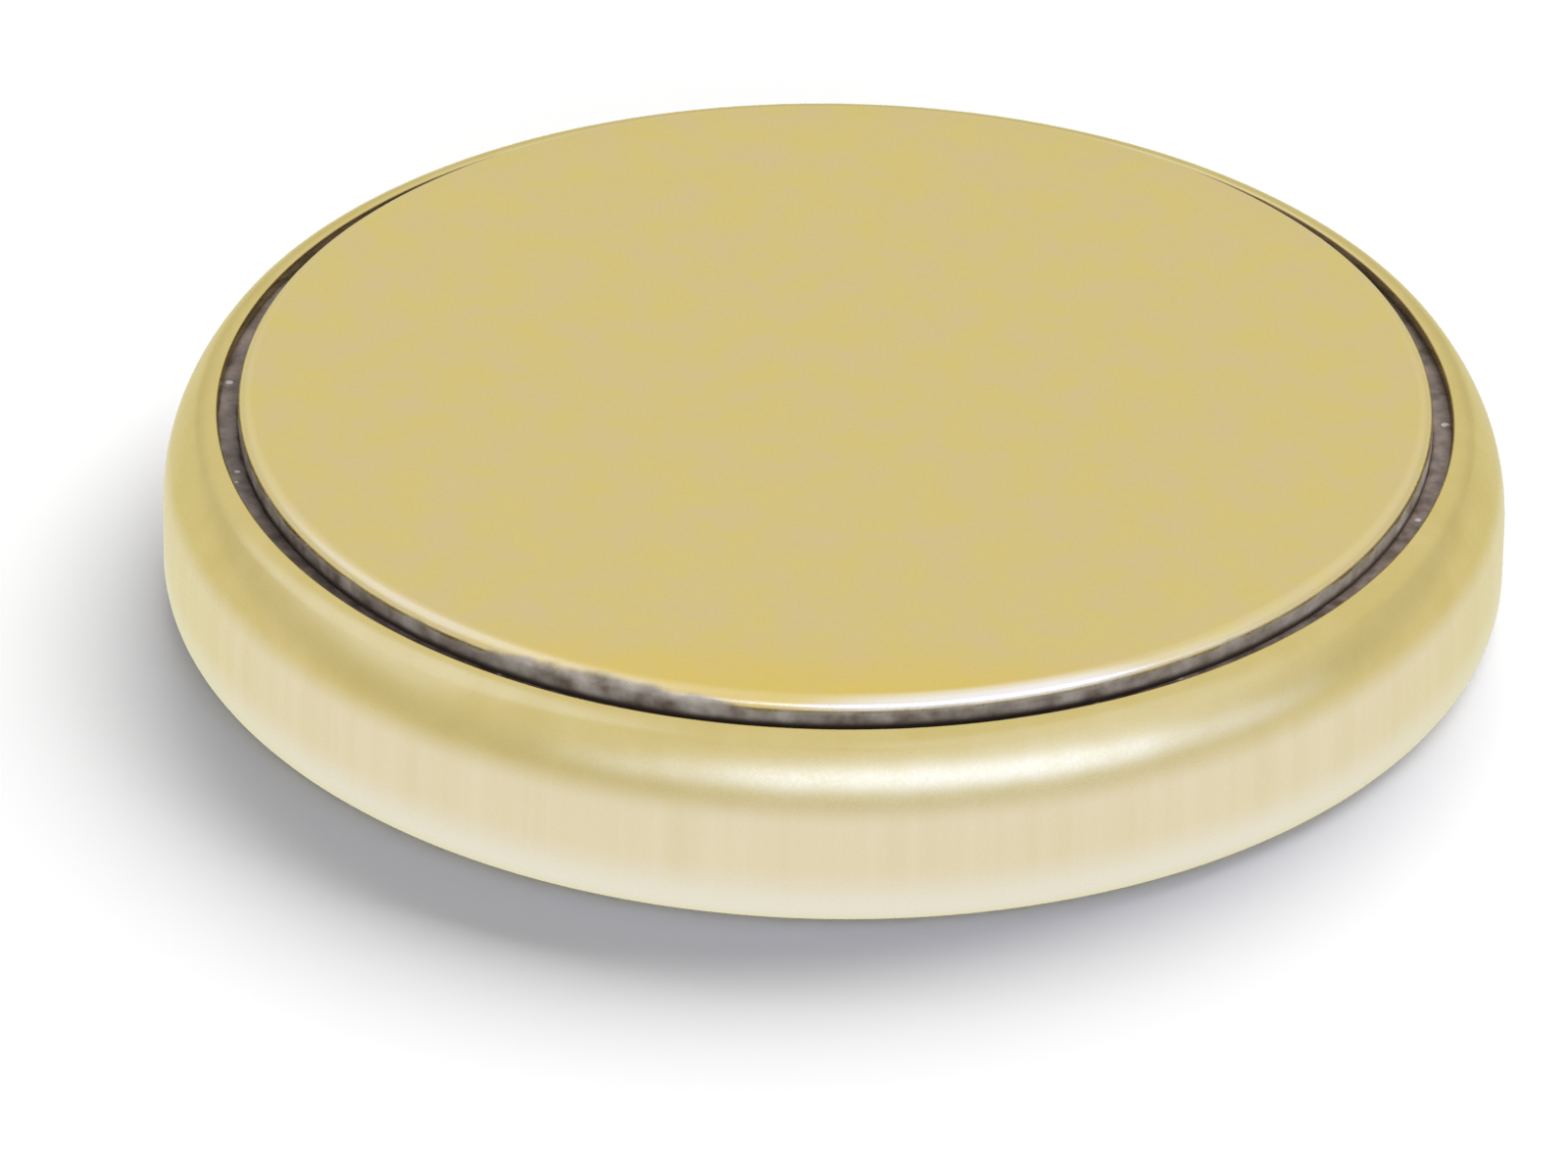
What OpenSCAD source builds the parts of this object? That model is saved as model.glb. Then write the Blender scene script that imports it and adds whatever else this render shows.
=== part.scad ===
// Lithium coin cell of the common 20 by 3.2 mm size, lying on its positive base with the negative cap up.
// The origin is the centre of the flat base and +Z runs up the cell's axis.

/* [Cell] */
// Diameter over the can's side wall
cell_d = 20; // [16:0.1:26]
// Height from the flat base to the flat top of the cap
cell_h = 3.2; // [2.8:0.05:5.4]

/* [Positive can] */
// Thickness of the can's sheet
can_t = 0.25; // [0.2:0.01:0.35]
// Outer radius of the bend between the base and the side wall
base_bend_r = 0.5; // [0.45:0.05:0.7]
// Outer radius of the long shoulder bend above the side wall
shoulder_r = 2.3; // [1.8:0.1:2.6]
// Outer radius of the tighter bend at the crest of the crimp
crest_r = 0.46; // [0.4:0.01:0.65]
// Depth of the crimp's crest below the flat top of the cap
crest_drop = 0.27; // [0.15:0.01:0.5]

/* [Negative cap] */
// Thickness of the cap's sheet
cap_t = 0.25; // [0.18:0.01:0.35]
// Width of the ring-shaped gap between the lip and the cap's neck
gap_w = 0.3; // [0.2:0.01:0.5]
// Outer radius of the edge round the flat top
cap_edge_r = 0.2; // [0.1:0.01:0.5]
// Least inner radius of that edge, where the sheet is coined tight
cap_corner_r = 0.05; // [0.03:0.01:0.2]
// Radius of the hollow bend where the neck meets the step
neck_r = 0.1; // [0.06:0.01:0.15]
// Outer radius of the bend from the step down into the skirt, limited by the width of the step
step_bend_r = 0.38; // [0.35:0.01:0.6]

/* [Gasket] */
// Thickness between the can's wall and the cap's skirt
wall_seal_t = 0.33; // [0.25:0.01:0.4]
// Thickness between the crimped lip and the cap's step
lip_seal_t = 0.34; // [0.2:0.01:0.4]
// Thickness under the edge of the skirt
foot_seal_t = 0.3; // [0.25:0.01:0.5]
// Thickness of the short wall inside the skirt
inner_wall_t = 0.3; // [0.15:0.01:0.35]
// Height of the short wall above the edge of the skirt
inner_wall_h = 0.5; // [0.2:0.05:0.7]
// Depth of the gasket's visible edge below the crest of the crimp
seal_recess = 0.18; // [0.05:0.01:0.19]

/* [Electrodes] */
// Thickness of the lithium disc
lithium_t = 0.65; // [0.4:0.01:0.9]
// Clearance round the lithium disc inside the separator's rim
lithium_gap = 0.4; // [0.1:0.05:1]
// Thickness of the separator
separator_t = 0.12; // [0.06:0.01:0.2]
// Clearance between the separator's rim and the cap's neck
separator_gap = 0.12; // [0.05:0.01:0.4]
// Height of the separator's turned-up rim, limited by the thickness of the lithium disc
separator_rim_h = 0.4; // [0.2:0.01:0.6]
// Outer radius of the bend at the foot of the separator's rim
separator_bend_r = 0.22; // [0.21:0.01:0.35]
// Thickness of the collector ring's sheet
ring_t = 0.15; // [0.1:0.01:0.25]
// Height of the collector ring
ring_h = 1.1; // [0.5:0.05:1.4]
// Width of the foot that the collector ring turns in under the cathode
ring_foot_w = 0.9; // [0.4:0.05:2]
// Clearance between the collector ring and the gasket's short wall
ring_gap = 0.37; // [0.2:0.05:1.5]
// Bevel round the top edge of the pressed cathode
cathode_bevel = 0.15; // [0.05:0.01:0.3]

/* [Hidden] */
// Facets round the cell, drawn as true circles
$fn = 180;
// Least straight length kept on the cap's step beside its two bends
step_flat = 0.02;
// Least height by which the lithium disc stands above the separator's rim
rim_clear = 0.1;

// Directions in a half section: where the shoulder bend passes into the crest bend, and one that points a little
// below the level. They follow 3-4-5 and 7-24-25 triangles, so that the bends meet at round numbers.
crimp_way = [0.8, 0.6];
below_level = [0.96, -0.28];

// Can: the shoulder and crest bends are tangent to each other, and the lip ends where the crest is level
can_r = cell_d / 2;
can_inner_r = can_r - can_t;
crest_z = cell_h - crest_drop;
lip_r = can_r - shoulder_r + (shoulder_r - crest_r) * crimp_way.x;
crest_centre = [lip_r, crest_z - crest_r];
shoulder_centre = crest_centre - (shoulder_r - crest_r) * crimp_way;
base_bend_centre = [can_r - base_bend_r, base_bend_r];

// Cap: a flat top, a neck, a step under the crimp and a skirt that stands in the gasket
neck_outer_r = lip_r - gap_w;
neck_inner_r = neck_outer_r - cap_t;
skirt_outer_r = can_inner_r - wall_seal_t;
skirt_inner_r = skirt_outer_r - cap_t;
skirt_z = can_t + foot_seal_t;
step_z = crest_z - can_t - lip_seal_t;
step_bend = min(step_bend_r, skirt_outer_r - neck_outer_r - neck_r - step_flat);
neck_centre = [neck_outer_r + neck_r, step_z + neck_r];
step_centre = [skirt_outer_r - step_bend, step_z - step_bend];

// Stack: cathode on the base, then the separator, then the lithium disc against the cap
gasket_bore_r = skirt_inner_r - inner_wall_t;
gasket_top_z = crest_z - seal_recess;
ring_outer_r = gasket_bore_r - ring_gap;
cathode_r = ring_outer_r - ring_t;
separator_r = neck_inner_r - separator_gap;
lithium_r = separator_r - separator_t - lithium_gap;
lithium_top_z = cell_h - cap_t;
lithium_z = lithium_top_z - lithium_t;
separator_z = lithium_z - separator_t;
separator_rim = min(separator_rim_h, lithium_t - rim_clear);

can_colour = [0.84, 0.76, 0.53];
cap_colour = [0.83, 0.76, 0.52];
gasket_colour = [0.3, 0.25, 0.22];
lithium_colour = [0.74, 0.75, 0.77];
separator_colour = [0.95, 0.95, 0.92];
cathode_colour = [0.13, 0.13, 0.14];
ring_colour = [0.66, 0.67, 0.69];

// Rectangle of a half section between two opposite corners
module block(low, high) {
    translate(low)
        square(high - low);
}

// Circle of a half section about a centre
module disc(centre, r) {
    translate(centre)
        circle(r = r);
}

// Half section of everything within the can's outer face, or within the face that lies inset from it. The pieces
// overlap, and the shoulder's slice ends where the crest's circle touches it from within.
module can_inside(inset) {
    block([0, inset], [base_bend_centre.x, shoulder_centre.y]);
    disc(base_bend_centre, base_bend_r - inset);
    block([0, base_bend_r], [can_r - inset, shoulder_centre.y]);
    intersection() {
        disc(shoulder_centre, shoulder_r - inset);
        translate(shoulder_centre)
            polygon([[0, 0], 2 * shoulder_r * below_level, 2 * shoulder_r * crimp_way]);
    }
    disc(crest_centre, crest_r - inset);
    polygon([
        [0, base_bend_r],
        [shoulder_centre.x, base_bend_r],
        crest_centre,
        [lip_r, crest_z - inset],
        [0, crest_z - inset]
    ]);
}

// Half section of everything under the cap's outer face, or under the face that lies inset from it
module cap_inside(inset) {
    edge_r = max(cap_edge_r - inset, cap_corner_r);
    edge_centre = [neck_outer_r - inset - edge_r, cell_h - inset - edge_r];
    block([0, skirt_z], [edge_centre.x, cell_h - inset]);
    disc(edge_centre, edge_r);
    block([0, skirt_z], [neck_outer_r - inset, edge_centre.y]);
    difference() {
        block([0, skirt_z], neck_centre);
        disc(neck_centre, neck_r + inset);
    }
    block([0, skirt_z], [step_centre.x, step_z - inset]);
    disc(step_centre, step_bend - inset);
    block([0, skirt_z], [skirt_outer_r - inset, step_centre.y]);
}

// One drawn cup of plated steel sheet, its open end crimped inwards over the gasket
module positive_can() {
    color(can_colour)
        rotate_extrude()
            difference() {
                can_inside(0);
                can_inside(can_t);
                block([0, shoulder_centre.y], [lip_r, cell_h]);
            }
}

// One pressed hat of plated steel sheet, caught by its step under the crimp
module negative_cap() {
    color(cap_colour)
        rotate_extrude()
            difference() {
                cap_inside(0);
                cap_inside(cap_t);
            }
}

// One moulded ring that fills the space between can and cap and shows as the thin dark line round the cap
module gasket() {
    color(gasket_colour)
        rotate_extrude() {
            difference() {
                can_inside(can_t);
                cap_inside(0);
                block([0, 0], [gasket_bore_r, skirt_z]);
                block([0, neck_centre.y], [neck_outer_r, crest_z]);
            }
            block([neck_outer_r, neck_centre.y], [lip_r, gasket_top_z]);
            block([gasket_bore_r, can_t], [skirt_inner_r, skirt_z + inner_wall_h]);
        }
}

// Disc punched from lithium foil and pressed against the inside of the cap
module lithium_anode() {
    color(lithium_colour)
        translate([0, 0, lithium_z])
            cylinder(h = lithium_t, r = lithium_r);
}

// Half section of everything within the separator's outer face, or within the face that lies inset from it
module separator_inside(inset) {
    rim_z = separator_z + separator_t + separator_rim;
    bend_centre = [separator_r - separator_bend_r, separator_z + separator_bend_r];
    block([0, separator_z + inset], [bend_centre.x, rim_z]);
    disc(bend_centre, separator_bend_r - inset);
    block([0, bend_centre.y], [separator_r - inset, rim_z]);
}

// Tray of non-woven felt whose rim stands up round the lithium disc
module separator() {
    color(separator_colour)
        rotate_extrude()
            difference() {
                separator_inside(0);
                separator_inside(separator_t);
            }
}

// Pressed manganese dioxide tablet, rebated round its lower edge for the collector ring's foot
module cathode_pellet() {
    rebate_r = ring_outer_r - ring_foot_w;
    color(cathode_colour)
        rotate_extrude()
            polygon([
                [0, can_t],
                [rebate_r, can_t],
                [rebate_r, can_t + ring_t],
                [cathode_r, can_t + ring_t],
                [cathode_r, separator_z - cathode_bevel],
                [cathode_r - cathode_bevel, separator_z],
                [0, separator_z]
            ]);
}

// Ring of thin steel with an L section that holds the tablet and carries its current to the can
module collector_ring() {
    color(ring_colour)
        rotate_extrude() {
            block([ring_outer_r - ring_foot_w, can_t], [ring_outer_r, can_t + ring_t]);
            block([cathode_r, can_t], [ring_outer_r, can_t + ring_h]);
        }
}

positive_can();
negative_cap();
gasket();
lithium_anode();
separator();
cathode_pellet();
collector_ring();
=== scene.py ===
# %% [markdown]
# # A lithium coin cell
# The object is the flat round cell that watches and car keys run on: 20 mm across and 3.2 mm high. It lies
# on its positive can, with the negative cap up. We load the solids that a CAD program made, put finer
# surfaces in place of the ones that can be seen, and light the cell like a small product photograph.

import bpy
import numpy as np
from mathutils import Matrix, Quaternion, Vector


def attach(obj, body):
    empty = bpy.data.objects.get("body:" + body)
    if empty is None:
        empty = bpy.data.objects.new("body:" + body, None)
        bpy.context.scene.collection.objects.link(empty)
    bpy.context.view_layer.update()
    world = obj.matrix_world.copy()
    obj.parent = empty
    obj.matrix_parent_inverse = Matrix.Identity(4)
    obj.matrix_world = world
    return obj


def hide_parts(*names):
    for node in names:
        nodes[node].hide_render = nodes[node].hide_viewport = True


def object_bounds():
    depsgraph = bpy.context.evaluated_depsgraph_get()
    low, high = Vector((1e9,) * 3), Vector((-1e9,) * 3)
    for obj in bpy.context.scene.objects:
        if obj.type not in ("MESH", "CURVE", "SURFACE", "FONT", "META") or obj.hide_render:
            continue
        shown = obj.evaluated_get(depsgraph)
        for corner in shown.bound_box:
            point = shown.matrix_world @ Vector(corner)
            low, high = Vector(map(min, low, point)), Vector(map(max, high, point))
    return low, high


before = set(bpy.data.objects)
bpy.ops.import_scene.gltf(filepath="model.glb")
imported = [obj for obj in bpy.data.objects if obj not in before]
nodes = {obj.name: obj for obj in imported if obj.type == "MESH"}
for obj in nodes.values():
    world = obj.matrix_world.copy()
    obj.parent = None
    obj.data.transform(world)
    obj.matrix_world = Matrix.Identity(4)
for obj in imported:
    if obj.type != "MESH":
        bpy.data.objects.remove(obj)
cad_low, cad_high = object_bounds()
print("solids:", sorted(nodes))
print("box in mm:", [round(1000 * (b - a), 3) for a, b in zip(cad_low, cad_high)])

# %% [markdown]
# ## Sizes
# The pieces are bodies of revolution, so a half section says everything about their form: the first number
# is the distance from the axis and the second is the height. The cell's radius and height come from the
# solids' box, and the sheet, the bends and the gaps are written once, in millimetres. Names that end in _at
# are centres of bends.

# %% Driving sizes in millimetres
MM = 0.001
CAN_R = round(float(cad_high[0]) / MM, 3)
CELL_H = round(float(cad_high[2]) / MM, 3)
SHEET_T = 0.25
BASE_BEND_R = 0.5
SHOULDER_R = 2.3
CREST_R = 0.46
CREST_DROP = 0.27
CRIMP_WAY = np.array([0.8, 0.6])
LIP_ROUND = 0.05
GAP_W = 0.3
CAP_EDGE_R = 0.2
CAP_CORNER_R = 0.05
HOLLOW_R = 0.1
STEP_R = 0.38
WALL_SEAL_T = 0.33
LIP_SEAL_T = 0.34
FOOT_SEAL_T = 0.3
INNER_WALL_T = 0.3
INNER_WALL_H = 0.5
SEAL_RECESS = 0.18
print("cell:", 2 * CAN_R, "mm across and", CELL_H, "mm high")

# %% Places that follow from them
crest_z = CELL_H - CREST_DROP
lip_r = CAN_R - SHOULDER_R + (SHOULDER_R - CREST_R) * CRIMP_WAY[0]
crest_at = np.array([lip_r, crest_z - CREST_R])
shoulder_at = crest_at - (SHOULDER_R - CREST_R) * CRIMP_WAY
base_at = np.array([CAN_R - BASE_BEND_R, BASE_BEND_R])
neck_r = lip_r - GAP_W
skirt_r = CAN_R - SHEET_T - WALL_SEAL_T
skirt_z = SHEET_T + FOOT_SEAL_T
step_z = crest_z - SHEET_T - LIP_SEAL_T
edge_at = np.array([neck_r - CAP_EDGE_R, CELL_H - CAP_EDGE_R])
corner_at = np.array([neck_r, CELL_H]) - SHEET_T - CAP_CORNER_R
hollow_at = np.array([neck_r + HOLLOW_R, step_z + HOLLOW_R])
step_at = np.array([skirt_r - STEP_R, step_z - STEP_R])
bore_r = skirt_r - SHEET_T - INNER_WALL_T
seal_z = crest_z - SEAL_RECESS
crimp_turn = float(np.degrees(np.arctan2(CRIMP_WAY[1], CRIMP_WAY[0])))
print(f"lip at radius {lip_r:.2f}, neck at radius {neck_r:.2f} mm")
print(f"shoulder from {shoulder_at[1]:.2f} to {crest_z:.2f} mm above the base")

# %% [markdown]
# ## Profiles
# A lathe or the Spin tool could turn each section, but a line worked out with numpy lets us put many points
# on the bends, where the light changes fast, and few on the flats. Each run leaves out its last point,
# because the next run starts there.

# %% Lines and bends of a half section
SAME_PLACE = 1e-6


def line(start, end, count):
    """Straight run: start plus t times the way to the end, for count values of t from 0 up to but not 1."""
    t = np.linspace(0, 1, count, endpoint=False)[:, None]
    return np.array(start) + t * (np.array(end) - np.array(start))


def bend(centre, radius, first, last, count):
    """Arc: the centre plus radius times cosine and sine of an angle, from first up to but not last."""
    angle = np.radians(np.linspace(first, last, count, endpoint=False))
    return np.array(centre) + radius * np.stack([np.cos(angle), np.sin(angle)], axis=1)


def joined(*runs):
    """One profile from runs that follow each other, without the points that two runs share."""
    profile = np.concatenate([np.atleast_2d(run) for run in runs])
    keep = np.ones(len(profile), bool)
    keep[1:] = np.linalg.norm(np.diff(profile, axis=0), axis=1) > SAME_PLACE
    return profile[keep]


print("a quarter bend in three steps:", bend((0, 0), 1, 0, 90, 3).round(3).tolist())

# %% [markdown]
# ## Turning a profile
# The grid has one row for each point of the profile and one column for each direction round the axis. A
# point that lies on the axis becomes a single vertex with a fan of triangles, so no seam or pole stays
# open. The signed volume tells at once whether the faces look outwards: it is positive only then.

# %% Turn a profile into a mesh
SEGMENTS = 384


def signed_volume(mesh):
    """Sum over the triangles of a dot (b cross c) over six, in cubic millimetres."""
    mesh.calc_loop_triangles()
    corners = np.empty(len(mesh.loop_triangles) * 3, int)
    mesh.loop_triangles.foreach_get("vertices", corners)
    points = np.empty(len(mesh.vertices) * 3)
    mesh.vertices.foreach_get("co", points)
    a, b, c = points.reshape(-1, 3)[corners.reshape(-1, 3)].transpose(1, 0, 2) / MM
    return float(np.einsum("ij,ij->i", a, np.cross(b, c)).sum() / 6)


def turned(name, profile, relief=None):
    """Surface of revolution: x and y are the radius times cosine and sine of the turn, and z is the height.

    relief gives a height to add, from the radius, the turn and the height, such as a stamped mark.
    """
    turn = np.linspace(0, 2 * np.pi, SEGMENTS, endpoint=False)
    on_axis = profile[:, 0] < SAME_PLACE
    ring = profile[~on_axis]
    r = np.repeat(ring[:, :1], SEGMENTS, axis=1)
    z = np.repeat(ring[:, 1:], SEGMENTS, axis=1)
    if relief is not None:
        z = z + relief(r, turn[None, :], z)
    points = np.stack([r * np.cos(turn), r * np.sin(turn), z], axis=2).reshape(-1, 3)
    rows = len(ring)
    bands = rows - 1 if on_axis.any() else rows
    i = np.arange(bands)[:, None] * SEGMENTS
    j = np.arange(SEGMENTS)[None, :]
    next_i, next_j = (i + SEGMENTS) % (rows * SEGMENTS), (j + 1) % SEGMENTS
    faces = np.stack([i + j, i + next_j, next_i + next_j, next_i + j], axis=2).reshape(-1, 4).tolist()
    if on_axis.any():
        poles = np.array([[0, 0, z] for z in profile[on_axis][[0, -1], 1]])
        first, last, top = len(points), len(points) + 1, (rows - 1) * SEGMENTS
        points = np.concatenate([points, poles])
        j, next_j = j[0], next_j[0]
        faces += np.stack([np.full_like(j, first), next_j, j], axis=1).tolist()
        faces += np.stack([np.full_like(j, last), top + j, top + next_j], axis=1).tolist()
    mesh = bpy.data.meshes.new(name)
    mesh.from_pydata((points * MM).tolist(), [], faces)
    mesh.shade_smooth()
    piece = bpy.data.objects.new(name, mesh)
    bpy.context.scene.collection.objects.link(piece)
    triangles = sum(len(face) - 2 for face in faces)
    print(f"{name}: {len(points)} points, {triangles} triangles, volume {signed_volume(mesh):.2f} mm3")
    return piece


# %% [markdown]
# ## The positive can
# The can is one cup, drawn from plated steel sheet. Its open rim is rolled inwards in two bends that touch
# each other without a corner, a long one and then a tight one, and ends in a lip. They meet where both face
# along CRIMP_WAY, the slope of a 3-4-5 triangle. The lip's two edges, where the sheet was cut, are slightly
# rounded by arcs that touch the crest's arc from within. The middle of the base gets many points, because
# it carries a mark.

# %% The can's profile
inner_crest_r = CREST_R - SHEET_T
outer_turn = float(np.degrees(np.arccos(LIP_ROUND / (CREST_R - LIP_ROUND))))
inner_turn = float(np.degrees(np.arccos(LIP_ROUND / (inner_crest_r + LIP_ROUND))))
outer_round_at = bend(crest_at, CREST_R - LIP_ROUND, outer_turn, 90, 1)[0]
inner_round_at = bend(crest_at, inner_crest_r + LIP_ROUND, inner_turn, 90, 1)[0]
PLUS_REACH, PLUS_HALF_WIDTH = 1.7, 0.26
PLUS_DEPTH, PLUS_EDGE = 0.035, 0.09
plus_zone = 1.4 * PLUS_REACH
can_profile = joined(
    line((0, 0), (plus_zone, 0), 48),
    line((plus_zone, 0), (base_at[0], 0), 6),
    bend(base_at, BASE_BEND_R, -90, 0, 12),
    line((CAN_R, base_at[1]), (CAN_R, shoulder_at[1]), 4),
    bend(shoulder_at, SHOULDER_R, 0, crimp_turn, 24),
    bend(crest_at, CREST_R, crimp_turn, outer_turn, 14),
    bend(outer_round_at, LIP_ROUND, outer_turn, 180, 6),
    bend(inner_round_at, LIP_ROUND, 180, 180 + inner_turn, 6),
    bend(crest_at, inner_crest_r, inner_turn, crimp_turn, 8),
    bend(shoulder_at, SHOULDER_R - SHEET_T, crimp_turn, 0, 12),
    line((CAN_R - SHEET_T, shoulder_at[1]), (CAN_R - SHEET_T, base_at[1]), 2),
    bend(base_at, BASE_BEND_R - SHEET_T, 0, -90, 6),
    line((base_at[0], SHEET_T), (0, SHEET_T), 5),
    (0, SHEET_T),
)
print("can profile:", len(can_profile), "points, highest", can_profile[:, 1].max().round(4), "mm")

# %% [markdown]
# ## The plus sign
# The base carries a shallow plus sign, the usual mark of this side. A boolean would cut sharp walls and
# long thin triangles, so the points of the base are raised instead, by a height that depends only on how
# far a point lies inside the nearer of two crossed bars.


# %% Stamp the plus sign and turn the can
def plus_sign(r, turn, z):
    """Depth times a smooth step of the distance inside the nearer of two crossed bars, underneath only."""
    x, y = np.abs(r * np.cos(turn)), np.abs(r * np.sin(turn))
    across = np.minimum(PLUS_REACH - x, PLUS_HALF_WIDTH - y)
    up = np.minimum(PLUS_HALF_WIDTH - x, PLUS_REACH - y)
    inside = np.clip(np.maximum(across, up) / PLUS_EDGE, 0, 1)
    smooth = inside * inside * (3 - 2 * inside)
    return np.where((z < SAME_PLACE) & (r < plus_zone), PLUS_DEPTH * smooth, 0)


can = turned("can_shell", can_profile, plus_sign)

# %% [markdown]
# ## The negative cap
# The cap is a pressed hat of the same sheet: a flat top with a tight edge, a short neck, a narrow step that
# the crimp holds down, and a skirt that stands in the gasket. Only the top, its edge and a little of the
# neck show, so the edge gets the most points. The profile runs up the inside first and comes back along the
# outside.

# %% The cap
neck_in, skirt_in = neck_r - SHEET_T, skirt_r - SHEET_T
cap_profile = joined(
    line((0, CELL_H - SHEET_T), (corner_at[0], CELL_H - SHEET_T), 5),
    bend(corner_at, CAP_CORNER_R, 90, 0, 4),
    line((neck_in, corner_at[1]), (neck_in, hollow_at[1]), 2),
    bend(hollow_at, HOLLOW_R + SHEET_T, 180, 270, 6),
    bend(step_at, STEP_R - SHEET_T, 90, 0, 6),
    line((skirt_in, step_at[1]), (skirt_in, skirt_z), 2),
    line((skirt_in, skirt_z), (skirt_r, skirt_z), 2),
    line((skirt_r, skirt_z), (skirt_r, step_at[1]), 2),
    bend(step_at, STEP_R, 0, 90, 8),
    bend(hollow_at, HOLLOW_R, 270, 180, 6),
    line((neck_r, hollow_at[1]), (neck_r, edge_at[1]), 5),
    bend(edge_at, CAP_EDGE_R, 0, 90, 18),
    line((edge_at[0], CELL_H), (0, CELL_H), 24),
    (0, CELL_H),
)
cap = turned("cap_shell", cap_profile)

# %% [markdown]
# ## The gasket
# A moulded plastic ring fills the space between can and cap, squeezed by the crimp. All that shows is its
# top, in the narrow gap between the lip and the cap. The crimp presses it up unevenly, so its top rises and
# falls by a few hundredths of a millimetre on the way round. A sum of waves that close after one turn makes
# this without a seam.

# %% The gasket
rng = np.random.default_rng(20)
WAVES = np.arange(3, 60)
SQUEEZE_DEPTH = 0.03
TOP_ROUND = 0.03
wave_phase = rng.uniform(0, 2 * np.pi, len(WAVES))
wave_size = rng.uniform(0.2, 1, len(WAVES)) / np.sqrt(WAVES)
sinks_from = seal_z - 0.6 * TOP_ROUND


def squeezed_top(r, turn, z):
    """Cosines of whole multiples of the turn, summed and scaled to sink the top by up to its depth."""
    waves = (wave_size[:, None] * np.cos(WAVES[:, None] * turn + wave_phase[:, None])).sum(0)
    waves = (waves - waves.max()) / (waves.max() - waves.min())
    return np.where(z > sinks_from, SQUEEZE_DEPTH * waves[None, :], 0)


gasket_profile = joined(
    line((bore_r, SHEET_T), (base_at[0], SHEET_T), 2),
    bend(base_at, BASE_BEND_R - SHEET_T, -90, 0, 6),
    line((CAN_R - SHEET_T, base_at[1]), (CAN_R - SHEET_T, shoulder_at[1]), 2),
    bend(shoulder_at, SHOULDER_R - SHEET_T, 0, crimp_turn, 12),
    bend(crest_at, inner_crest_r, crimp_turn, 90, 8),
    line((lip_r, crest_z - SHEET_T), (lip_r, seal_z - TOP_ROUND), 2),
    bend((lip_r - TOP_ROUND, seal_z - TOP_ROUND), TOP_ROUND, 0, 90, 3),
    line((lip_r - TOP_ROUND, seal_z), (neck_r + TOP_ROUND, seal_z), 4),
    bend((neck_r + TOP_ROUND, seal_z - TOP_ROUND), TOP_ROUND, 90, 180, 3),
    line((neck_r, seal_z - TOP_ROUND), (neck_r, hollow_at[1]), 2),
    bend(hollow_at, HOLLOW_R, 180, 270, 6),
    bend(step_at, STEP_R, 90, 0, 8),
    line((skirt_r, step_at[1]), (skirt_r, skirt_z), 2),
    line((skirt_r, skirt_z), (skirt_in, skirt_z), 2),
    line((skirt_in, skirt_z), (skirt_in, skirt_z + INNER_WALL_H), 2),
    line((skirt_in, skirt_z + INNER_WALL_H), (bore_r, skirt_z + INNER_WALL_H), 2),
    line((bore_r, skirt_z + INNER_WALL_H), (bore_r, SHEET_T), 2),
)
gasket = turned("gasket_ring", gasket_profile, squeezed_top)

# %% [markdown]
# ## Nodes in code
# An effect that more than one material uses is a node group. It reads the object's own coordinates, so it
# stays put when the camera moves. Groups could be drawn by hand in the Shader Editor, but a few helpers
# that add and link nodes let us read each recipe from top to bottom.


# %% Helpers for nodes
def group(name, inputs, outputs):
    """A new node group with named sockets; inputs are (name, type, default) and outputs are (name, type)."""
    tree = bpy.data.node_groups.new(name, "ShaderNodeTree")
    for title, kind, default in inputs:
        socket = tree.interface.new_socket(title, in_out="INPUT", socket_type=kind)
        if default is not None:
            socket.default_value = default
    for title, kind in outputs:
        tree.interface.new_socket(title, in_out="OUTPUT", socket_type=kind)
    return tree, tree.nodes.new("NodeGroupInput").outputs, tree.nodes.new("NodeGroupOutput").inputs


def node(tree, kind, links=(), **settings):
    """Adds a node, sets its properties, and links or sets inputs from pairs of socket and value."""
    made = tree.nodes.new(kind)
    for key, value in settings.items():
        setattr(made, key, value)
    for socket, value in links:
        if isinstance(value, bpy.types.NodeSocket):
            tree.links.new(value, made.inputs[socket])
        else:
            made.inputs[socket].default_value = value
    return made


def remapped(tree, value, low, high, first=0.0, last=1.0, kind="SMOOTHSTEP"):
    """Number that goes from first to last as value goes from low to high, smoothly unless kind is LINEAR."""
    links = [(0, value), (1, low), (2, high), (3, first), (4, last)]
    return node(tree, "ShaderNodeMapRange", links, interpolation_type=kind).outputs[0]


def times(tree, first, second):
    """Product of two numbers, for a mask that needs both."""
    return node(tree, "ShaderNodeMath", [(0, first), (1, second)], operation="MULTIPLY").outputs[0]


# %% [markdown]
# ## Grain
# Rolled and pressed sheet is never quite even. One noise makes soft clouds a fraction of a millimetre wide,
# and a much finer one makes the grain that scatters the light. Each material sets the scale of both.

# %% Grain
grain, given, result = group(
    "sheet grain",
    [
        ("Coordinates", "NodeSocketVector", None),
        ("Cloud Scale", "NodeSocketFloat", 2000.0),
        ("Grain Scale", "NodeSocketFloat", 20000.0),
    ],
    [("Cloud", "NodeSocketFloat"), ("Grain", "NodeSocketFloat")],
)
cloud = node(grain, "ShaderNodeTexNoise", [("Vector", given[0]), ("Scale", given[1]), ("Detail", 3.0)])
fine = node(grain, "ShaderNodeTexNoise", [("Vector", given[0]), ("Scale", given[2]), ("Detail", 2.0)])
grain.links.new(cloud.outputs[0], result[0])
grain.links.new(fine.outputs[0], result[1])
print("grain:", len(grain.nodes), "nodes")

# %% [markdown]
# ## Draw lines
# When a cup is drawn, the sheet slides over the tool and keeps faint lines that run away from the axis and
# up the wall. A noise that is read only at the direction from the axis is the same at every height, so it
# makes such lines on any body of revolution, with no image to wrap round it.

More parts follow.
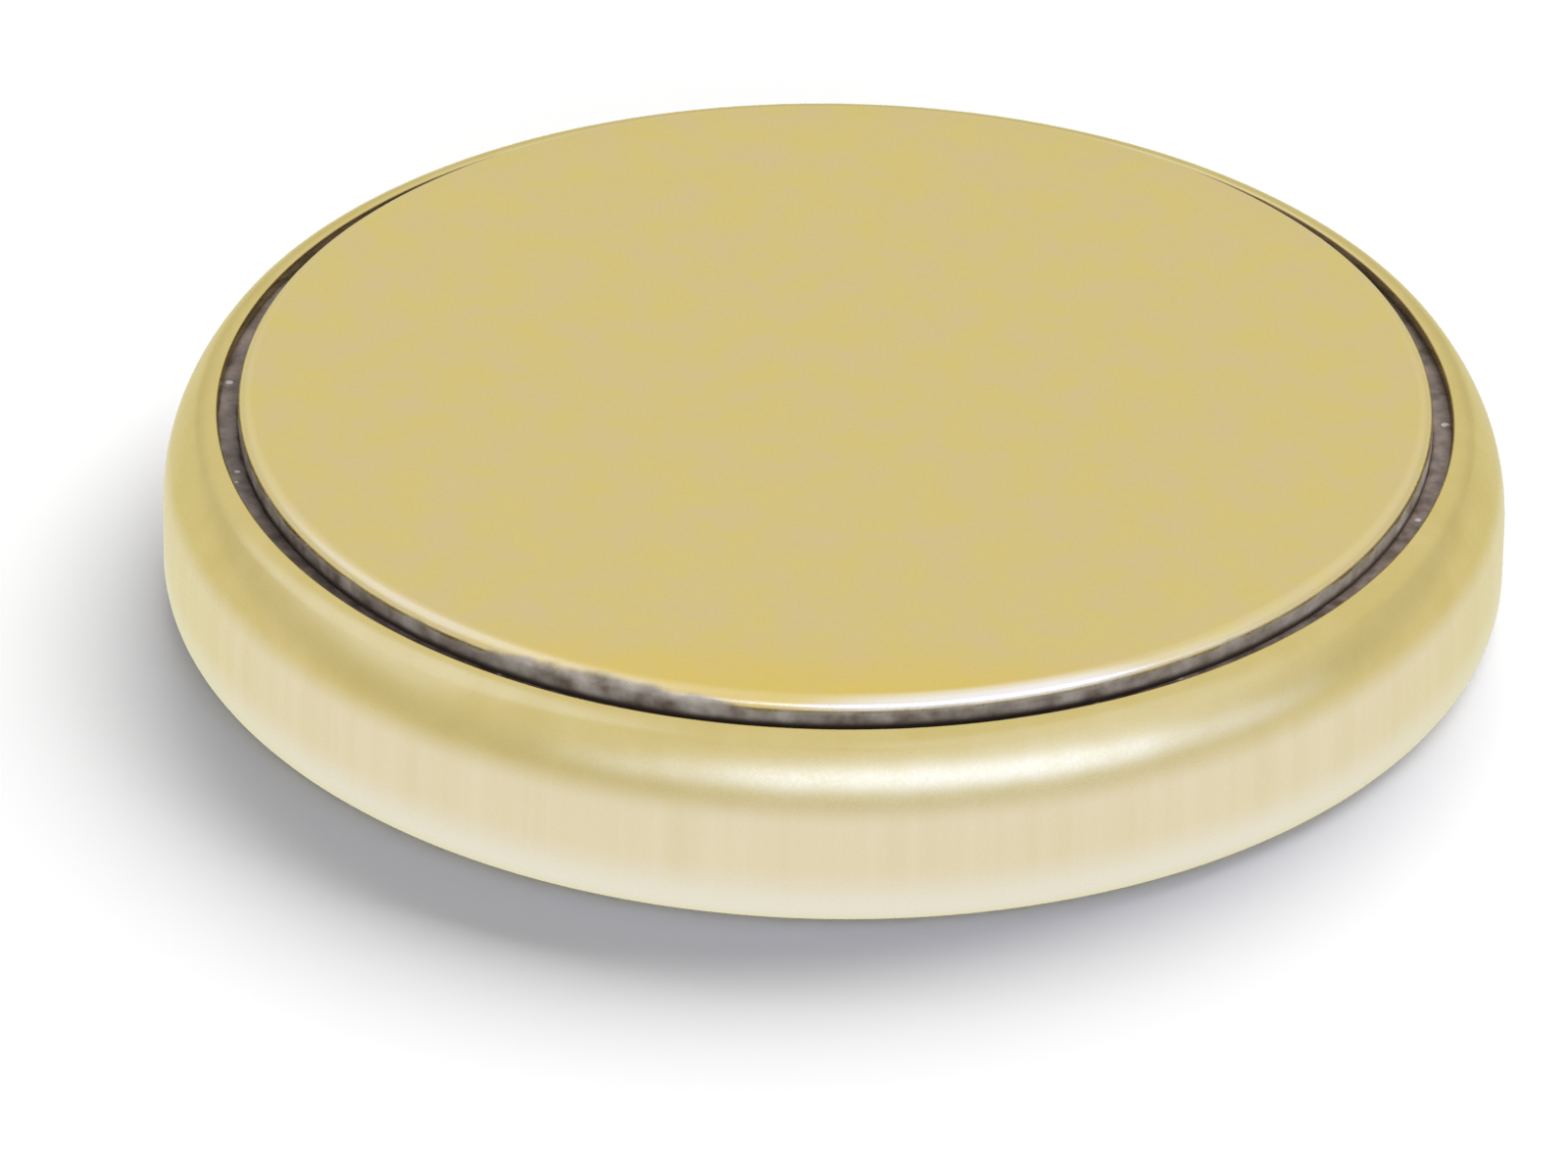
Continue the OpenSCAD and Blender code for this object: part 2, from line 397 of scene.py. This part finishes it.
# %% Draw lines
lines, given, result = group(
    "draw lines",
    [("Coordinates", "NodeSocketVector", None), ("Lines Scale", "NodeSocketFloat", 60.0)],
    [("Lines", "NodeSocketFloat")],
)
flat = node(lines, "ShaderNodeVectorMath", [(0, given[0]), (1, (1, 1, 0))], operation="MULTIPLY")
outwards = node(lines, "ShaderNodeVectorMath", [(0, flat.outputs[0])], operation="NORMALIZE")
streak = node(
    lines, "ShaderNodeTexNoise", [("Vector", outwards.outputs[0]), ("Scale", given[1]), ("Detail", 3.0)]
)
lines.links.new(streak.outputs[0], result[0])
print("draw lines:", len(lines.nodes), "nodes")

# %% [markdown]
# ## Specks
# A few tiny points show where a surface was touched or splashed. A Voronoi texture puts one point into each
# of its cells, and the cell's random colour picks the few that are kept.

# %% Specks
specks, given, result = group(
    "specks",
    [
        ("Coordinates", "NodeSocketVector", None),
        ("Spacing Scale", "NodeSocketFloat", 600.0),
        ("Size", "NodeSocketFloat", 0.06),
        ("Share", "NodeSocketFloat", 0.1),
    ],
    [("Mask", "NodeSocketFloat")],
)
spot = node(specks, "ShaderNodeTexVoronoi", [("Vector", given[0]), ("Scale", given[1])])
near = node(specks, "ShaderNodeMath", [(0, spot.outputs["Distance"]), (1, given[2])], operation="LESS_THAN")
chance = node(specks, "ShaderNodeSeparateColor", [(0, spot.outputs["Color"])]).outputs[0]
picked = node(specks, "ShaderNodeMath", [(0, chance), (1, given[3])], operation="LESS_THAN")
specks.links.new(times(specks, near.outputs[0], picked.outputs[0]), result[0])
print("groups:", [g.name for g in bpy.data.node_groups])


# %% [markdown]
# ## Starting a material
# Each material has one Principled shader. A value that is the same all over the piece is set on the
# shader's own socket, and only what changes over the surface is linked. Colours are given as they show on a
# screen, from 0 to 255.

# %% Helpers for materials
MICRON = 0.001 * MM


def linear(red, green, blue):
    """Linear colour of three screen values from 0 to 255, by the power law of the screen's own standard."""
    c = np.array([red, green, blue]) / 255
    return (*np.where(c <= 0.04045, c / 12.92, ((c + 0.055) / 1.055) ** 2.4).tolist(), 1.0)


def material(name, **plain):
    """A material with one Principled shader, its coordinates, and the values that are alike all over it."""
    made = bpy.data.materials.new(name)
    made.use_nodes = True
    tree = made.node_tree
    shader = tree.nodes["Principled BSDF"]
    for title, value in plain.items():
        shader.inputs[title.replace("_", " ")].default_value = value
    return made, tree, shader.inputs, node(tree, "ShaderNodeTexCoord").outputs["Object"]


def placed(tree, effect, coordinates, **values):
    """Puts an effect's group into a material with its own values, and returns its outputs."""
    made = node(tree, "ShaderNodeGroup", node_tree=effect)
    tree.links.new(coordinates, made.inputs["Coordinates"])
    for title, value in values.items():
        made.inputs[title.replace("_", " ")].default_value = value
    return list(made.outputs)


def mixed(tree, factor, first, second):
    """Colour that goes from first to second as factor goes from 0 to 1."""
    return node(tree, "ShaderNodeMix", [(0, factor), (6, first), (7, second)], data_type="RGBA").outputs[2]


def noise_span(tree, value, low, high):
    """Number that goes from low to high as value goes from 0.3 to 0.7, the span that a noise mostly has."""
    return remapped(tree, value, 0.3, 0.7, low, high, "LINEAR")


def bumped(tree, shader, height, distance, strength):
    """Feeds a height through a Bump node, with its distance in metres, into the shader's normal."""
    made = node(tree, "ShaderNodeBump", [("Strength", strength), ("Distance", distance), ("Height", height)])
    tree.links.new(made.outputs[0], shader["Normal"])


def mask(tree, length, start, end):
    """Number that goes from 0 to 1 as a length goes from start to end, both given in millimetres."""
    return remapped(tree, length, start * MM, end * MM)


def radius_and_height(tree, coordinates):
    """The distance from the cell's axis and the height above the base, in metres."""
    flat = node(tree, "ShaderNodeVectorMath", [(0, coordinates), (1, (1, 1, 0))], operation="MULTIPLY")
    radius = node(tree, "ShaderNodeVectorMath", [(0, flat.outputs[0])], operation="LENGTH").outputs["Value"]
    return radius, node(tree, "ShaderNodeSeparateXYZ", [(0, coordinates)]).outputs["Z"]


print("half as bright on the screen is", round(linear(128, 128, 128)[0], 3), "of the light")

# %% [markdown]
# ## The cap's plating
# The cap has a thin gold-coloured plating with a fine matte finish. An image would only show the marks of
# one cell, so the shader is fully metallic, and noise varies its colour and roughness a little. Towards the
# front edge the gold is painted warmer, as a painted reflection. The tight edge was burnished by the press
# and is smoother, and it is painted paler: a little all round as wear, and strongly in front as a painted
# highlight.


# %% The cap's plating
def towards_rim(tree, coordinates, way, start, end, first, last):
    """Number that goes from first to last between two shares of the neck's radius, measured along a way."""
    place = node(tree, "ShaderNodeVectorMath", [(0, coordinates), (1, way)], operation="DOT_PRODUCT")
    neck = neck_r * MM
    return remapped(tree, place.outputs["Value"], start * neck, end * neck, first, last)


EDGE_TINT = (0.9, 0.88, 0.66, 1.0)
EDGE_MARGIN = 0.05
# Directions towards which the gold is painted warmer as a reflection, and the edge paler as a painted
# highlight.
WARM_REFLECTION_WAY, EDGE_HIGHLIGHT_WAY = (-0.05, -1, 0), (0.24, -0.97, 0)
cap_finish, tree, shader, where = material("cap_plating", Specular_Tint=EDGE_TINT, Specular_IOR_Level=0.2)
cloud, fine = placed(tree, grain, where, Cloud_Scale=1500.0, Grain_Scale=16000.0)
pale_specks = placed(tree, specks, where, Spacing_Scale=420.0, Size=0.02, Share=0.05)[0]
radius, height = radius_and_height(tree, where)
gold = mixed(tree, noise_span(tree, cloud, 0, 1), linear(220, 202, 128), linear(219, 199, 145))
gold = mixed(tree, pale_specks, gold, linear(236, 228, 200))
# Painted reflection: the gold is painted warmer towards the front edge.
warm_reflection = towards_rim(tree, where, WARM_REFLECTION_WAY, 0.78, 0.97, 0.0, 0.6)
gold = mixed(tree, warm_reflection, gold, linear(228, 200, 98))
# Painted highlight and wear: the edge band is painted paler, a little all round as wear and strongly in
# front.
at_edge = mask(tree, radius, edge_at[0] - EDGE_MARGIN, neck_r - CAP_EDGE_R / 2)
edge_wear_and_highlight = times(tree, at_edge, towards_rim(tree, where, EDGE_HIGHLIGHT_WAY, 0.94, 0.99, 0.15, 1.0))
gold = mixed(tree, edge_wear_and_highlight, gold, linear(238, 228, 200))
matte = noise_span(tree, fine, 0.38, 0.46)
burnished = remapped(tree, at_edge, 0, 1, 0.0, -0.12)
smoother = node(tree, "ShaderNodeMath", [(0, matte), (1, burnished)], operation="ADD").outputs[0]
tree.links.new(smoother, shader["Roughness"])
bumped(tree, shader, fine, 2 * MICRON, 0.4)
print("cap plating:", len(tree.nodes), "nodes")

# %% [markdown]
# ## The sealant on the neck
# Sealant squeezed out by the crimp creeps up the cap's neck as a grey-brown film with an uneven border,
# which lies higher at one smear in front. It is thin and follows the neck, so it needs no surface of its
# own: a mask changes the colour and takes away the metal. Close to the gasket the film is painted darker,
# as painted shade in the gap.

# %% The sealant on the neck
SEALANT_SHADE, SEALANT_DARK, SEALANT_PALE = linear(100, 86, 78), linear(138, 124, 112), linear(222, 214, 204)
CREEP, SHADE_H = 0.2, 0.1
SMEAR_WAY, SMEAR_RISE = (-0.36, -0.93, 0), 0.12
film_whole_z, film_end_z = edge_at[1] + 0.04, edge_at[1] + 0.18
uneven = [(0, cloud), (1, CREEP * MM), (2, height)]
creep = node(tree, "ShaderNodeMath", uneven, operation="MULTIPLY_ADD").outputs[0]
smear = towards_rim(tree, where, SMEAR_WAY, 0.965, 0.985, 0.0, SMEAR_RISE * MM)
rise = node(tree, "ShaderNodeMath", [(0, creep), (1, smear)], operation="SUBTRACT").outputs[0]
on_neck = mask(tree, radius, edge_at[0], neck_r - CAP_EDGE_R / 2)
film = times(tree, on_neck, mask(tree, rise, film_end_z, film_whole_z))
crust = placed(tree, grain, where, Cloud_Scale=2600.0)[0]
sealant = mixed(tree, noise_span(tree, crust, 0, 1), SEALANT_DARK, SEALANT_PALE)
# Painted shade: the film is painted darker towards the gasket, where the gap lies in shade.
sealant = mixed(tree, mask(tree, height, seal_z + SHADE_H, seal_z), sealant, SEALANT_SHADE)
tree.links.new(mixed(tree, film, gold, sealant), shader["Base Color"])
tree.links.new(remapped(tree, film, 0, 1, 1.0, 0.05), shader["Metallic"])
print(f"sealant on the neck: whole at {film_whole_z:.2f} mm and gone at {film_end_z:.2f} mm, less the creep")

# %% [markdown]
# ## The can's plating
# Over the crimp the plating is full gold. Lower down the colour follows the height alone: the side wall is
# painted paler as a painted reflection of the white floor, palest near the base, and faint draw lines run up
# the wall. The lip's edge, where the sheet was cut after plating, is duller.

# %% The can's plating
# Heights in millimetres: the painted floor reflection grows towards the base over the first pair, and gives
# way to gold over the second.
FOOT_REFLECTION, WALL_REFLECTION_TO_GOLD = (1.1, 0.35), (1.72, 2.2)
LIP_NEAR, LIP_FAR = 0.005, 0.02
can_finish, tree, shader, where = material("can_plating", Metallic=1.0, Specular_Tint=EDGE_TINT)
cloud, fine = placed(tree, grain, where, Cloud_Scale=1500.0, Grain_Scale=16000.0)
wide_lines = placed(tree, lines, where, Lines_Scale=26.0)[0]
thin_lines = placed(tree, lines, where, Lines_Scale=150.0)[0]
radius, height = radius_and_height(tree, where)
gold = mixed(tree, noise_span(tree, cloud, 0, 1), linear(209, 190, 123), linear(214, 196, 132))
# Painted reflection: the wall's paler colour stands in for the white floor mirrored in it; the draw lines in
# it are real.
wall = mixed(tree, noise_span(tree, wide_lines, 0, 1), linear(225, 212, 175), linear(229, 217, 184))
wall = mixed(tree, mask(tree, height, *FOOT_REFLECTION), wall, linear(233, 227, 208))
plating = mixed(tree, mask(tree, height, *WALL_REFLECTION_TO_GOLD), wall, gold)
at_lip = mask(tree, radius, lip_r + LIP_FAR, lip_r + LIP_NEAR)
under_crest = mask(tree, height, crest_z - 0.6 * LIP_ROUND, crest_z - LIP_ROUND)
cut = times(tree, at_lip, under_crest)
tree.links.new(mixed(tree, cut, plating, linear(186, 172, 142)), shader["Base Color"])
tree.links.new(noise_span(tree, fine, 0.26, 0.3), shader["Roughness"])
both_reliefs = node(tree, "ShaderNodeMath", [(0, thin_lines), (1, 0.5), (2, fine)], operation="MULTIPLY_ADD")
bumped(tree, shader, both_reliefs.outputs[0], 2 * MICRON, 0.07)
print("can plating:", len(tree.nodes), "nodes")

# %% [markdown]
# ## The gasket's plastic
# The gasket is moulded plastic under an uneven grey-brown film of sealant, which is glossier where it is
# darker and carries pale flecks. One soft noise drives colour, gloss and relief together, as one film does
# on the real ring.

# %% The gasket's plastic
gasket_finish, tree, shader, where = material("gasket_plastic", Specular_IOR_Level=0.2)
cloud = placed(tree, grain, where, Cloud_Scale=3500.0)[0]
flecks = placed(tree, specks, where, Spacing_Scale=4200.0, Size=0.26, Share=0.12)[0]
film = mixed(tree, noise_span(tree, cloud, 0, 1), linear(94, 80, 72), linear(156, 142, 132))
tree.links.new(mixed(tree, flecks, film, linear(196, 190, 186)), shader["Base Color"])
tree.links.new(noise_span(tree, cloud, 0.3, 0.6), shader["Roughness"])
bumped(tree, shader, cloud, 20 * MICRON, 0.6)
print("gasket plastic:", len(tree.nodes), "nodes")

# %% [markdown]
# ## Foil and felt
# The pieces inside are hidden, but they get their real finishes too, so that the cell can be shown opened.
# Lithium is a soft silvery foil, dull from rolling. The separator is white felt, and very rough: fine noise
# stands for its fibres, because single fibres are far too thin to show.

# %% The lithium and the separator
lithium_finish, tree, shader, where = material("lithium_foil", Metallic=1.0)
cloud, fine = placed(tree, grain, where, Cloud_Scale=900.0, Grain_Scale=9000.0)
tree.links.new(mixed(tree, cloud, linear(176, 178, 182), linear(208, 209, 212)), shader["Base Color"])
tree.links.new(noise_span(tree, fine, 0.4, 0.6), shader["Roughness"])
bumped(tree, shader, fine, 10 * MICRON, 0.5)

felt_finish, tree, shader, where = material("separator_felt")
cloud, fine = placed(tree, grain, where, Cloud_Scale=4000.0, Grain_Scale=26000.0)
tree.links.new(mixed(tree, cloud, linear(228, 227, 220), linear(246, 246, 242)), shader["Base Color"])
tree.links.new(noise_span(tree, fine, 0.8, 0.95), shader["Roughness"])
bumped(tree, shader, fine, 30 * MICRON, 0.8)
print("finishes:", lithium_finish.name, "and", felt_finish.name)

# %% [markdown]
# ## Pressed powder and bare steel
# The tablet is black manganese dioxide powder pressed until it holds together, so it is matte and speckled
# by its grains. The collector ring is thin steel strip without plating, and the lines of its rolling change
# how it shines.

# %% The tablet and the collector ring
powder_finish, tree, shader, where = material("cathode_powder")
cloud, fine = placed(tree, grain, where, Cloud_Scale=1800.0, Grain_Scale=14000.0)
tree.links.new(mixed(tree, fine, linear(26, 26, 28), linear(58, 57, 58)), shader["Base Color"])
tree.links.new(noise_span(tree, cloud, 0.65, 0.9), shader["Roughness"])
bumped(tree, shader, fine, 20 * MICRON, 0.8)

steel_finish, tree, shader, where = material("bare_steel", Metallic=1.0)
cloud, fine = placed(tree, grain, where, Cloud_Scale=1200.0, Grain_Scale=12000.0)
rolled = placed(tree, lines, where, Lines_Scale=90.0)[0]
tree.links.new(mixed(tree, cloud, linear(160, 162, 166), linear(184, 186, 189)), shader["Base Color"])
tree.links.new(noise_span(tree, rolled, 0.28, 0.4), shader["Roughness"])
bumped(tree, shader, fine, 3 * MICRON, 0.4)
print("finishes:", powder_finish.name, "and", steel_finish.name)

# %% [markdown]
# ## Surfaces, solids and finishes
# The three turned surfaces stand in for the solids of the same name, and nothing moves, so all of them ride
# on the root. The four hidden solids are good enough as they are: they keep their meshes and only get a
# finish.

# %% Put the pieces and finishes together
for piece, name, finish in (
    (can, "positive_can", can_finish),
    (cap, "negative_cap", cap_finish),
    (gasket, "gasket", gasket_finish),
):
    piece.data.materials.append(finish)
    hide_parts(name)
    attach(piece, "root")
for name, finish in (
    ("lithium_anode", lithium_finish),
    ("separator", felt_finish),
    ("cathode_pellet", powder_finish),
    ("collector_ring", steel_finish),
):
    nodes[name].data.materials.clear()
    nodes[name].data.materials.append(finish)
print("finishes:", sorted(m.name for m in bpy.data.materials if m.users))

# %% [markdown]
# ## What metal sees
# Shiny metal is mostly a picture of its surroundings. The floor and the world show it a plain pale studio,
# while the light that they send to matte surfaces is set apart from that. This number tells the two cases
# from each other.


# %% What metal sees
def mirrored(tree):
    """1 where metal or glass that the camera sees mirrors this surface, and 0 for light between surfaces."""
    rays = node(tree, "ShaderNodeLightPath").outputs
    kinds = [(0, rays["Is Glossy Ray"]), (1, rays["Is Transmission Ray"])]
    shiny = node(tree, "ShaderNodeMath", kinds, operation="MAXIMUM").outputs[0]
    depth = [(0, rays["Diffuse Depth"]), (1, 0.5)]
    direct = node(tree, "ShaderNodeMath", depth, operation="LESS_THAN").outputs[0]
    return times(tree, shiny, direct)


# %% [markdown]
# ## The floor
# The photograph has a plain white ground with a soft shadow to the front and left. The floor is a matte
# white sheet that takes the shadow, and in the metal it shows as plain white. It lies a hundredth of a
# millimetre under the base, because two faces at one height would fight for the same pixels, and it is
# clear from below, so that the underside of the cell can be looked at.

# %% The floor
FLOOR_HALF, FLOOR_DROP = 0.6, 0.01 * MM
floor_mesh = bpy.data.meshes.new("floor")
corners = np.array([[-1, -1, 0], [1, -1, 0], [1, 1, 0], [-1, 1, 0]]) * FLOOR_HALF - [0, 0, FLOOR_DROP]
floor_mesh.from_pydata(corners.tolist(), [], [(0, 1, 2, 3)])
floor = bpy.data.objects.new("floor", floor_mesh)
bpy.context.scene.collection.objects.link(floor)
floor_finish = bpy.data.materials.new("white_ground")
floor_finish.use_nodes = True
tree = floor_finish.node_tree
shader = tree.nodes["Principled BSDF"]
shader.inputs["Base Color"].default_value = (1, 1, 1, 1)
shader.inputs["Roughness"].default_value = 1.0
shader.inputs["Specular IOR Level"].default_value = 0.0
glow = node(tree, "ShaderNodeEmission", [("Color", (1, 1, 1, 1)), ("Strength", 1.0)])
both = [(0, mirrored(tree)), (1, shader.outputs[0]), (2, glow.outputs[0])]
ground = node(tree, "ShaderNodeMixShader", both).outputs[0]
below = node(tree, "ShaderNodeNewGeometry").outputs["Backfacing"]
clear = node(tree, "ShaderNodeBsdfTransparent").outputs[0]
one_sided = node(tree, "ShaderNodeMixShader", [(0, below), (1, ground), (2, clear)])
tree.links.new(one_sided.outputs[0], tree.nodes["Material Output"].inputs["Surface"])
floor_mesh.materials.append(floor_finish)
print(f"floor: {2 * FLOOR_HALF:.1f} m wide, {FLOOR_DROP / MM:.2f} mm under the base")

# %% [markdown]
# ## The world
# The world gives a weak soft light from all sides, as a white room does, and behind the cell the camera
# sees plain white. The metal sees it a little dimmer near the horizon, as it would see the far walls.

# %% The world
WORLD_LIGHT = 0.29
HORIZON_IN_METAL, CEILING_IN_METAL = 0.82, 1.0
HORIZON_RISE, CEILING_RISE = 0.1, 0.5
world = bpy.data.worlds.new("studio")
bpy.context.scene.world = world
world.use_nodes = True
tree = world.node_tree
rays = node(tree, "ShaderNodeLightPath").outputs
direction = node(tree, "ShaderNodeTexCoord").outputs["Generated"]
rise = node(tree, "ShaderNodeSeparateXYZ", [(0, direction)]).outputs["Z"]
in_metal = remapped(tree, rise, HORIZON_RISE, CEILING_RISE, HORIZON_IN_METAL, CEILING_IN_METAL)
by_metal = node(tree, "ShaderNodeMix", [(0, mirrored(tree)), (2, WORLD_LIGHT), (3, in_metal)])
by_camera = node(tree, "ShaderNodeMix", [(0, rays["Is Camera Ray"]), (2, by_metal.outputs[0]), (3, 1.0)])
backdrop = tree.nodes["Background"]
backdrop.inputs["Color"].default_value = (1, 1, 1, 1)
tree.links.new(by_camera.outputs[0], backdrop.inputs["Strength"])
print("world:", WORLD_LIGHT, "for matte surfaces,", HORIZON_IN_METAL, "to", CEILING_IN_METAL, "in metal")

# %% [markdown]
# ## Lamps
# A large soft box behind and to the right makes the shadow, and a weak low one in front lights the neck in
# the gap. Metal shows lamps as highlights, so those two are hidden from it, and four others are there for
# the metal alone: two low strips in front that draw the bright band along the shoulder, and a gentle box at
# each side for the crest. In the photograph the band is white on gold metal, so the lamps behind it are
# blue enough to make up for the gold. All of them stand far away, so that the floor is lit evenly out to
# its edges.

# %% A lamp
NEUTRAL, WINDOW_TINT = (1, 1, 1), (0.2, 0.3, 1.0)
BOX_DISTANCE = 5.0


def towards(azimuth, elevation):
    """Direction from the cell: azimuth 0 is in front and 90 to the right, and elevation goes up."""
    a, e = np.radians(azimuth), np.radians(elevation)
    return Vector((np.sin(a) * np.cos(e), -np.cos(a) * np.cos(e), np.sin(e)))


def box(name, tint, azimuth, elevation, width, height, radiance, lean=0.0):
    """A rectangular lamp that looks at the cell, leant about that line by some degrees.

    Its width and height are shares of its distance, and its power is the radiance times pi times its area.
    """
    light = bpy.data.lights.new(name, "AREA")
    light.color = tint
    light.shape = "RECTANGLE"
    light.size, light.size_y = width * BOX_DISTANCE, height * BOX_DISTANCE
    light.energy = radiance * np.pi * light.size * light.size_y
    rig = bpy.data.objects.new(name, light)
    way = towards(azimuth, elevation)
    rig.location = way * BOX_DISTANCE
    level = (-way).to_track_quat("-Z", "Y")
    rig.rotation_euler = (level @ Quaternion((0, 0, 1), np.radians(lean))).to_euler()
    bpy.context.scene.collection.objects.link(rig)
    print(f"{name}: {light.energy:.0f} W")
    return rig


print("a lamp to the right and halfway up stands towards", [round(v, 2) for v in towards(90, 45)])

# %% [markdown]
# ## Where the lamps stand
# The directions and sizes were found from the picture: the shadow's direction and softness give the large
# box, and the ends of the bright band give the strips, which lean a little, as the band does.

# %% The lamps
STRIP_LEAN = -6


def matte_box(name, **values):
    """A white box that lights matte surfaces, and that metal doesn't mirror."""
    box(name, NEUTRAL, **values).visible_glossy = False


def metal_box(name, **values):
    """A bluish box that only metal sees."""
    box(name, WINDOW_TINT, **values).visible_diffuse = False


matte_box("shadow_box", azimuth=153.5, elevation=41, width=1.24, height=0.66, radiance=5.4)
matte_box("front_fill", azimuth=8, elevation=16, width=1.0, height=0.32, radiance=3.2)
metal_box("front_strip", azimuth=20, elevation=22, width=1.28, height=0.24, radiance=3.0, lean=STRIP_LEAN)
metal_box("wide_strip", azimuth=22, elevation=22, width=3.6, height=0.26, radiance=2.0, lean=STRIP_LEAN)
metal_box("left_box", azimuth=-98, elevation=46, width=0.9, height=1.0, radiance=0.8)
metal_box("right_box", azimuth=60, elevation=50, width=0.9, height=1.0, radiance=0.48)

# %% [markdown]
# ## Camera
# The photograph looks down on the cell from about thirty degrees, from ten cell widths away. The picture is
# turned by less than a degree, and the cell sits right of and above the middle of the frame. So the camera
# looks at a point left of and below the cell's centre, through a long lens.

# %% The camera
DISTANCE, ELEVATION, ROLL = 200 * MM, 30.45, 0.8
ASIDE, BELOW = -0.745 * MM, -1.575 * MM
LENS, SENSOR = 308.0, 36.0
eye = np.radians(ELEVATION)
forward = Vector((0, np.cos(eye), -np.sin(eye)))
roll = Quaternion((0, 0, 1), np.radians(ROLL))
level_view = forward.to_track_quat("-Z", "Y") @ roll
centre = Vector((0, 0, CELL_H / 2 * MM))
aim = centre + level_view @ Vector((ASIDE, BELOW, 0))
lens = bpy.data.cameras.new("camera")
lens.lens, lens.sensor_width = LENS, SENSOR
lens.clip_start, lens.clip_end = 0.01, 5.0
camera = bpy.data.objects.new("camera", lens)
bpy.context.scene.collection.objects.link(camera)
camera.location = centre - forward * DISTANCE
camera.rotation_mode = "QUATERNION"
camera.rotation_quaternion = (aim - camera.location).to_track_quat("-Z", "Y") @ roll
bpy.context.scene.camera = camera
bpy.context.scene.view_settings.view_transform = "Standard"
print("camera", [round(1000 * v, 2) for v in camera.location], "mm from the base's centre")

# %% [markdown]
# ## Finish
# The view layer is brought up to date.

# %% Finish
bpy.context.view_layer.update()
